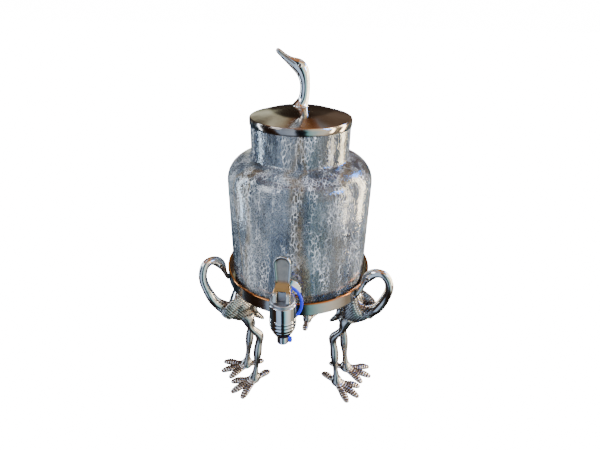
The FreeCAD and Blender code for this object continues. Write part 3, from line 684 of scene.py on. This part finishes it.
# %% Crackled glass
long_crack = 2.7 * MM
fine_crack = 1.6 * MM
streak_width = 10 * MM
waver_width = 9 * MM
waver_reach = 5 * MM
patch_width = 55 * MM
tint_and_reflection_width = 30 * MM
ripple_width = 5 * MM
relief = 0.5 * MM
glass, tree, shader = new_finish(
    "crackled_soda_lime_glass", "#B9CBDD", 0.0, 0.07, IOR=1.5, Coat_Weight=0.6, Coat_Roughness=0.05)
place = add_node(tree, "ShaderNodeTexCoord").outputs["Object"]
waver = add_node(tree, "ShaderNodeTexNoise", {"Vector": place, "Scale": 1 / waver_width, "Detail": 2.0})
bent = add_node(
    tree, "ShaderNodeVectorMath", {0: waver.outputs["Color"], 1: [waver_reach] * 3, 2: place},
    operation="MULTIPLY_ADD")
drawn_out = add_node(tree, "ShaderNodeMapping", {"Vector": bent.outputs[0], "Scale": (1.0, 1.0, 0.34)})
long_cells = add_node(
    tree, "ShaderNodeTexVoronoi", {"Vector": drawn_out.outputs[0], "Scale": 1 / long_crack},
    feature="DISTANCE_TO_EDGE")
fine_cells = add_node(
    tree, "ShaderNodeTexVoronoi", {"Vector": bent.outputs[0], "Scale": 1 / fine_crack},
    feature="DISTANCE_TO_EDGE")
streaked = add_node(tree, "ShaderNodeMapping", {"Vector": bent.outputs[0], "Scale": (1.0, 1.0, 0.16)})
streaks = add_node(
    tree, "ShaderNodeTexNoise",
    {"Vector": streaked.outputs[0], "Scale": 1 / streak_width, "Detail": 3.0, "Roughness": 0.6})
patches = add_node(tree, "ShaderNodeTexNoise", {"Vector": place, "Scale": 1 / patch_width, "Detail": 2.0})
long_line = add_node(tree, "ShaderNodeMapRange", {0: long_cells.outputs["Distance"], 1: 0.065, 2: 0.015})
fine_line = add_node(tree, "ShaderNodeMapRange", {0: fine_cells.outputs["Distance"], 1: 0.075, 2: 0.015})
long_share = add_node(
    tree, "ShaderNodeMapRange", {0: streaks.outputs["Fac"], 1: 0.44, 2: 0.58, 3: 0.1, 4: 1.0})
fine_share = add_node(
    tree, "ShaderNodeMapRange", {0: patches.outputs["Fac"], 1: 0.62, 2: 0.38, 3: 0.1, 4: 0.8})
long_net = add_node(
    tree, "ShaderNodeMath", {0: long_line.outputs[0], 1: long_share.outputs[0]}, operation="MULTIPLY")
fine_net = add_node(
    tree, "ShaderNodeMath", {0: fine_line.outputs[0], 1: fine_share.outputs[0]}, operation="MULTIPLY")
net = add_node(tree, "ShaderNodeMath", {0: long_net.outputs[0], 1: fine_net.outputs[0]}, operation="MAXIMUM")
# The base colour is partly the glass's own bluish tint and partly painted reflections of the dim room: greys and
# warm browns in upright streaks.
tint_and_reflection = add_node(
    tree, "ShaderNodeTexNoise", {"Vector": streaked.outputs[0], "Scale": 1 / tint_and_reflection_width, "Detail": 2.0})
blotches = add_node(tree, "ShaderNodeValToRGB", {0: tint_and_reflection.outputs["Fac"]})
set_stops(blotches, [
    (0.30, "#495159"), (0.42, "#70808F"), (0.50, "#607082"), (0.56, "#8899A9"), (0.64, "#A8987A"),
    (0.70, "#708496"),
])
tone = add_node(
    tree, "ShaderNodeMix", {0: net.outputs[0], 6: blotches.outputs[0], 7: linear("#F4F8FC")}, data_type="RGBA")
clear = add_node(tree, "ShaderNodeMapRange", {0: net.outputs[0], 1: 0.0, 2: 1.0, 3: 0.86, 4: 0.15})
ripple = add_node(
    tree, "ShaderNodeTexNoise", {"Vector": streaked.outputs[0], "Scale": 1 / ripple_width, "Detail": 2.0})
rise = add_node(
    tree, "ShaderNodeMath", {0: long_cells.outputs["Distance"], 1: ripple.outputs["Fac"]}, operation="ADD")
bump = add_node(tree, "ShaderNodeBump", {"Strength": 0.55, "Distance": relief, "Height": rise.outputs[0]})
tree.links.new(tone.outputs[2], shader.inputs["Base Color"])
tree.links.new(clear.outputs[0], shader.inputs["Transmission Weight"])
tree.links.new(bump.outputs[0], shader.inputs["Normal"])
paint(glass, "glass_jar")
print("crack cells", long_crack / MM, "and", fine_crack / MM, "mm")

# %% [markdown]
# ## Plated castings
#
# The birds and the knob are sand-cast aluminium with a polished nickel plate. Plate shows the room sharply
# on the high spots; the recesses keep a brown wax patina that the polishing wheel doesn't reach.


# %% Nickel plate with brown patina
def hammered(tree, shader, place, grain, strength, depth):
    """Uneven surface left by the mould, as a bump; grain is its size."""
    dents = add_node(
        tree, "ShaderNodeTexNoise", {"Vector": place, "Scale": 1 / grain, "Detail": 2.0, "Roughness": 0.5})
    bump = add_node(
        tree, "ShaderNodeBump", {"Strength": strength, "Distance": depth, "Height": dents.outputs["Fac"]})
    tree.links.new(bump.outputs[0], shader.inputs["Normal"])


wax_width = 14 * MM
antique, tree, shader = new_finish("antiqued_nickel_plate", "#D6D2CC", 1.0, 0.16)
place = add_node(tree, "ShaderNodeTexCoord").outputs["Object"]
patina = add_node(tree, "ShaderNodeAttribute", attribute_name="patina")
blotches = add_node(
    tree, "ShaderNodeTexNoise", {"Vector": place, "Scale": 1 / wax_width, "Detail": 4.0, "Roughness": 0.65})
stain_share = add_node(tree, "ShaderNodeMapRange", {0: blotches.outputs["Fac"], 1: 0.55, 2: 0.75, 3: 0.0, 4: 0.5})
brown = add_node(
    tree, "ShaderNodeMath", {0: patina.outputs["Fac"], 1: stain_share.outputs[0]},
    operation="ADD", use_clamp=True)
tone = add_node(
    tree, "ShaderNodeMix", {0: brown.outputs[0], 6: linear("#DCD9D4"), 7: linear("#40291A")},
    data_type="RGBA")
gloss = add_node(tree, "ShaderNodeMapRange", {0: brown.outputs[0], 3: 0.09, 4: 0.45})
tree.links.new(tone.outputs[2], shader.inputs["Base Color"])
tree.links.new(gloss.outputs[0], shader.inputs["Roughness"])
hammered(tree, shader, place, grain=7 * MM, strength=0.16, depth=0.6 * MM)
castings = [bpy.data.objects[name + "_casting"] for name in bird_turns] + [knob]
for piece in castings + eyes:
    piece.data.materials.append(antique)
paint(antique, "bird_left", "bird_right", "bird_back", "lid_finial")
print("pieces with patina:", len(castings + eyes))

# %% [markdown]
# The lid and the ring have the same plate without the brown wax. The lid's colour holds painted warm
# reflections in soft cloudy blotches. The ring's holds a painted copper reflection along its upper edge.

# %% Plate of the lid and the ring
reflection_blotch_width = 40 * MM
copper_reflection_top = ring_high[2] - 0.8 * MM
copper_reflection_foot = ring_high[2] - 2.0 * MM
lid_plate, tree, shader = new_finish("polished_nickel_lid", "#B8B0A8", 1.0, 0.13)
place = add_node(tree, "ShaderNodeTexCoord").outputs["Object"]
# Painted reflections: warm brown and grey blotches in the base colour stand in for the room seen in the lid.
blotches = add_node(tree, "ShaderNodeTexNoise", {"Vector": place, "Scale": 1 / reflection_blotch_width, "Detail": 3.0})
tone = add_node(tree, "ShaderNodeValToRGB", {0: blotches.outputs["Fac"]})
set_stops(tone, [(0.38, "#9A8E84"), (0.5, "#ACA49C"), (0.62, "#B8B4AE")])
tree.links.new(tone.outputs[0], shader.inputs["Base Color"])
hammered(tree, shader, place, grain=9 * MM, strength=0.12, depth=0.6 * MM)
paint(lid_plate, "lid_cover")
rim.data.materials.append(lid_plate)

ring_plate, tree, shader = new_finish("polished_nickel_ring", "#ACA69F", 1.0, 0.14)
place = add_node(tree, "ShaderNodeTexCoord").outputs["Object"]
height = add_node(tree, "ShaderNodeSeparateXYZ", {0: place})
# Painted reflection: a copper band in the base colour along the ring's upper edge.
near_top = add_node(tree, "ShaderNodeMapRange", {0: height.outputs["Z"], 1: copper_reflection_foot, 2: copper_reflection_top})
tone = add_node(
    tree, "ShaderNodeMix", {0: near_top.outputs[0], 6: linear("#ACA69F"), 7: linear("#B07444")},
    data_type="RGBA")
tree.links.new(tone.outputs[2], shader.inputs["Base Color"])
hammered(tree, shader, place, grain=14 * MM, strength=0.16, depth=1.0 * MM)
paint(ring_plate, "stand_ring")
print("plated: ring top at", round(ring_high[2] / MM, 1), "mm")

# %% [markdown]
# ## Tap
#
# The tap is moulded ABS with a chrome plate. Its bonnet has a satin plate, its seals are rubber, and two
# rings of blue silicone belong to it.

# %% Tap finishes
chrome, tree, shader = new_finish("chrome_plated_abs", "#DADDE0", 1.0, 0.08)
place = add_node(tree, "ShaderNodeTexCoord").outputs["Object"]
hammered(tree, shader, place, grain=10 * MM, strength=0.06, depth=0.5 * MM)
paint(chrome, "tap_body", "tap_escutcheon")
ribs.data.materials.append(chrome)

satin, tree, shader = new_finish("satin_plated_abs", "#B4B6BA", 1.0, 0.38)
place = add_node(tree, "ShaderNodeTexCoord").outputs["Object"]
hammered(tree, shader, place, grain=1.2 * MM, strength=0.2, depth=0.05 * MM)
paint(satin, "bonnet_ring", "valve_stem")

smear_width = 4 * MM
lever_plate, tree, shader = new_finish("worn_chrome_lever", "#C9C6C0", 1.0, 0.12)
dished = add_node(tree, "ShaderNodeAttribute", attribute_name="dished")
worn = add_node(tree, "ShaderNodeAttribute", attribute_name="worn")
place = add_node(tree, "ShaderNodeTexCoord").outputs["Object"]
smear = add_node(tree, "ShaderNodeTexNoise", {"Vector": place, "Scale": 1 / smear_width, "Detail": 3.0})
face = add_node(
    tree, "ShaderNodeMix", {0: smear.outputs["Fac"], 6: linear("#A4968A"), 7: linear("#D0C2B0")},
    data_type="RGBA")
tone = add_node(
    tree, "ShaderNodeMix", {0: dished.outputs["Fac"], 6: linear("#CFCBC4"), 7: face.outputs[2]},
    data_type="RGBA")
gold = add_node(
    tree, "ShaderNodeMix", {0: worn.outputs["Fac"], 6: tone.outputs[2], 7: linear("#B07C48")},
    data_type="RGBA")
gloss = add_node(tree, "ShaderNodeMapRange", {0: dished.outputs["Fac"], 3: 0.12, 4: 0.42})
tree.links.new(gold.outputs[2], shader.inputs["Base Color"])
tree.links.new(gloss.outputs[0], shader.inputs["Roughness"])
lever.data.materials.append(lever_plate)
paint(lever_plate, "lever_handle")

steel, tree, shader = new_finish("plain_steel", "#A8A9AB", 1.0, 0.3)
place = add_node(tree, "ShaderNodeTexCoord").outputs["Object"]
hammered(tree, shader, place, grain=0.8 * MM, strength=0.2, depth=0.03 * MM)
paint(steel, "lever_pin", "return_spring", "finial_screw", "bird_screws")
print("tap finishes:", [finish.name for finish in (chrome, satin, lever_plate, steel)])

# %% [markdown]
# The soft parts are matt and slightly uneven from their moulds: black rubber seals inside the tap, a clear
# silicone seal and washer behind the glass, a nylon nut, and the two blue rings.

# %% Rubber and silicone
rubber, tree, shader = new_finish("black_rubber", "#1C1C1D", 0.0, 0.6)
place = add_node(tree, "ShaderNodeTexCoord").outputs["Object"]
hammered(tree, shader, place, grain=0.5 * MM, strength=0.2, depth=0.05 * MM)
paint(rubber, "outer_seal", "valve_plug", "stem_seal")
clear_silicone, tree, shader = new_finish("clear_silicone", "#E6ECF2", 0.0, 0.3, Subsurface_Weight=0.2)
place = add_node(tree, "ShaderNodeTexCoord").outputs["Object"]
hammered(tree, shader, place, grain=2 * MM, strength=0.1, depth=0.05 * MM)
paint(clear_silicone, "inner_seal", "inner_washer")
nut_plastic, tree, shader = new_finish("grey_nylon", "#5A5D61", 0.0, 0.45)
place = add_node(tree, "ShaderNodeTexCoord").outputs["Object"]
hammered(tree, shader, place, grain=1.5 * MM, strength=0.1, depth=0.05 * MM)
paint(nut_plastic, "back_nut")
silicone, tree, shader = new_finish("blue_silicone", "#0018D0", 0.0, 0.5, Specular_IOR_Level=0.3)
place = add_node(tree, "ShaderNodeTexCoord").outputs["Object"]
hammered(tree, shader, place, grain=1.5 * MM, strength=0.1, depth=0.05 * MM)
paint(silicone, "shank_ring", "spout_ring")
print("materials:", len(bpy.data.materials))
